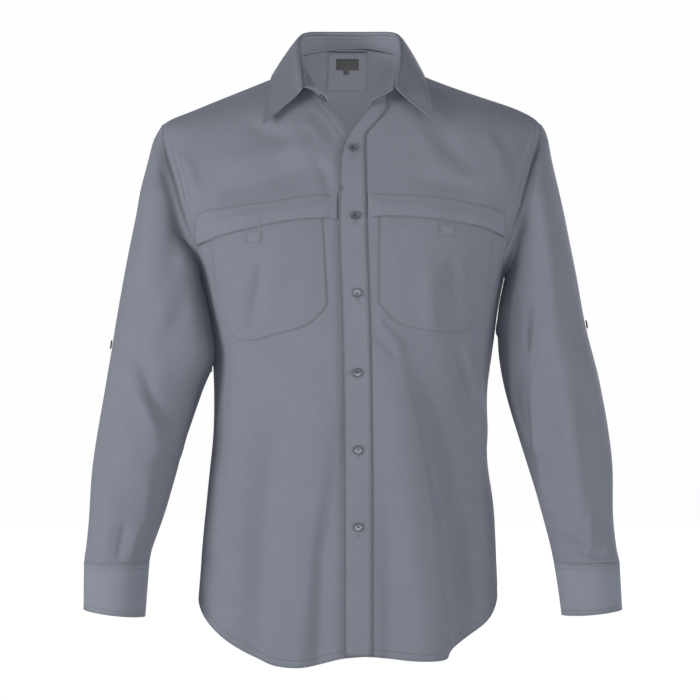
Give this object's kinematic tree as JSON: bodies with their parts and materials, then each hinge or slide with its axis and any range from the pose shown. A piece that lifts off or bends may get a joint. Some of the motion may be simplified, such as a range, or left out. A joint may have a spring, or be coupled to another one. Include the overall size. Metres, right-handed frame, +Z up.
{
  "type": "shirt",
  "caption": "Long-sleeved button-front work shirt with an open pointed collar, flapped chest pockets and a rounded hem, hollow as if worn.",
  "frame": {"origin": "base of the neck, midway between the shoulders, where the wearer holds the shirt up", "axes": "+X to the wearer's left, +Y to the back, +Z up"},
  "size_m": [0.6695, 0.2799, 0.8073],
  "materials": {
    "cloth": "light grey-blue plain-weave cotton, matt",
    "label": "black woven tape, matt, bare",
    "button": "grey resin, satin"
  },
  "bodies": {
    "root": {"front_right": "cloth", "front_left": "cloth", "back": "cloth", "yoke": "cloth", "placket": "cloth", "pocket_right": "cloth", "flap_right": "cloth", "hook_tab_right": "cloth", "sleeve_right": "cloth", "sleeve_placket_right": "cloth", "cuff_right": "cloth", "pocket_left": "cloth", "flap_left": "cloth", "hook_tab_left": "cloth", "sleeve_left": "cloth", "sleeve_placket_left": "cloth", "cuff_left": "cloth", "collar_stand": "cloth", "collar_fall": "cloth", "label_patch": "cloth", "neck_label": "label", "size_tab": "label", "front_button_1": "button", "front_button_2": "button", "front_button_3": "button", "front_button_4": "button", "front_button_5": "button", "front_button_6": "button", "sleeve_button_right": "button", "cuff_button_right": "button", "sleeve_button_left": "button", "cuff_button_left": "button", "stand_button": "button"}
  },
  "joints": []
}
